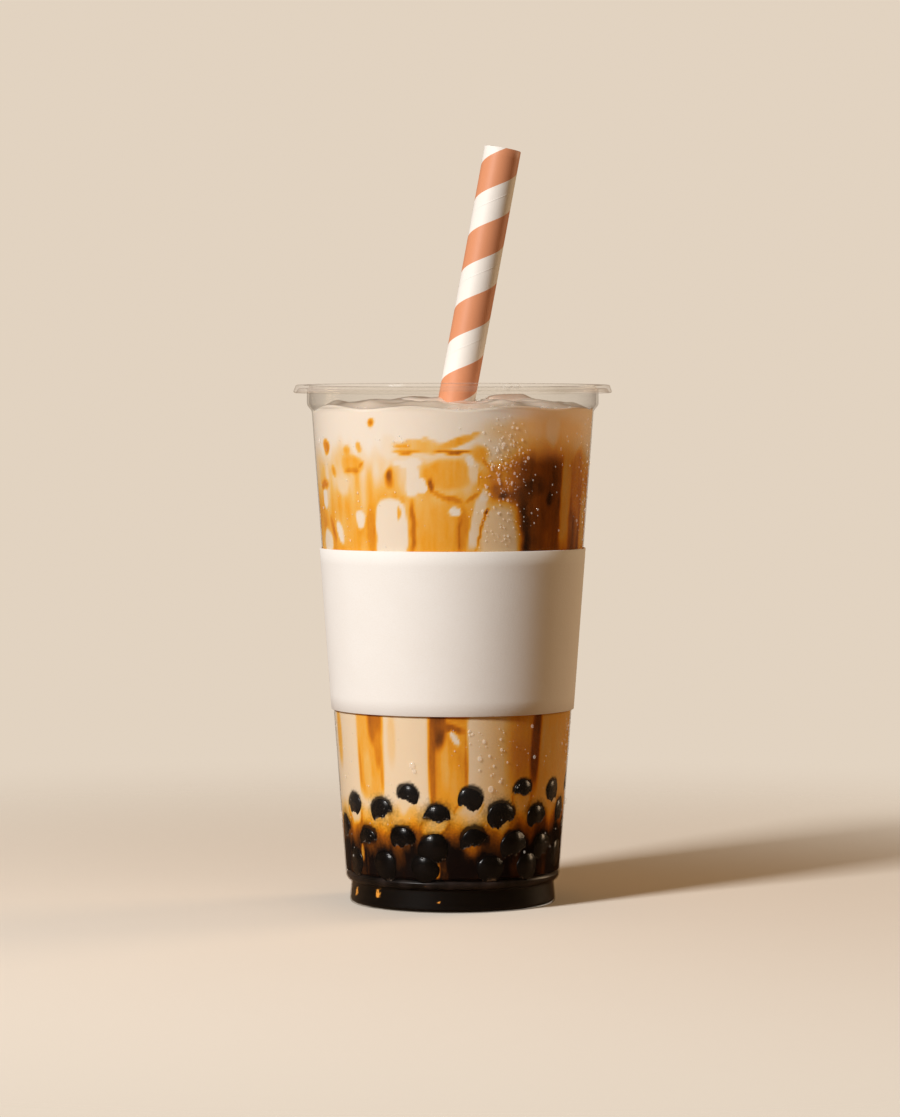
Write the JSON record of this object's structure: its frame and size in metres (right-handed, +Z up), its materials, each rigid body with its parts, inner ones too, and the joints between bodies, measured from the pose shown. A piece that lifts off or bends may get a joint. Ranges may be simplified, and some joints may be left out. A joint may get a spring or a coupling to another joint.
{
  "type": "bubble tea",
  "caption": "Clear plastic cup of iced milk tea over dark tapioca pearls and brown sugar syrup, with a plain paper sleeve round the cup and a striped paper straw leaning in it.",
  "frame": {"origin": "on the cup's axis, on the plane of the foot ring that it stands on", "axes": "+Z up along the cup's axis; +X the way the straw leans; -Y the front, opposite the sleeve's glued overlap"},
  "size_m": [0.095, 0.095, 0.2256],
  "materials": {
    "clear_plastic": "clear, smooth and glossy, with beads of condensation outside",
    "sleeve_paper": "uncoated cream paper with a fine grain, no print",
    "straw_paper": "matte wound paper with terracotta and cream stripes of equal width",
    "milk_tea": "opaque cream liquid with amber streaks of syrup down the wall",
    "tapioca": "near-black, wet and glossy",
    "brown_sugar_syrup": "dark brown, clear and glossy"
  },
  "bodies": {
    "root": {"cup": "clear_plastic", "sleeve": "sleeve_paper", "straw": "straw_paper", "drink": "milk_tea", "pearls": "tapioca", "syrup": "brown_sugar_syrup"}
  },
  "joints": []
}
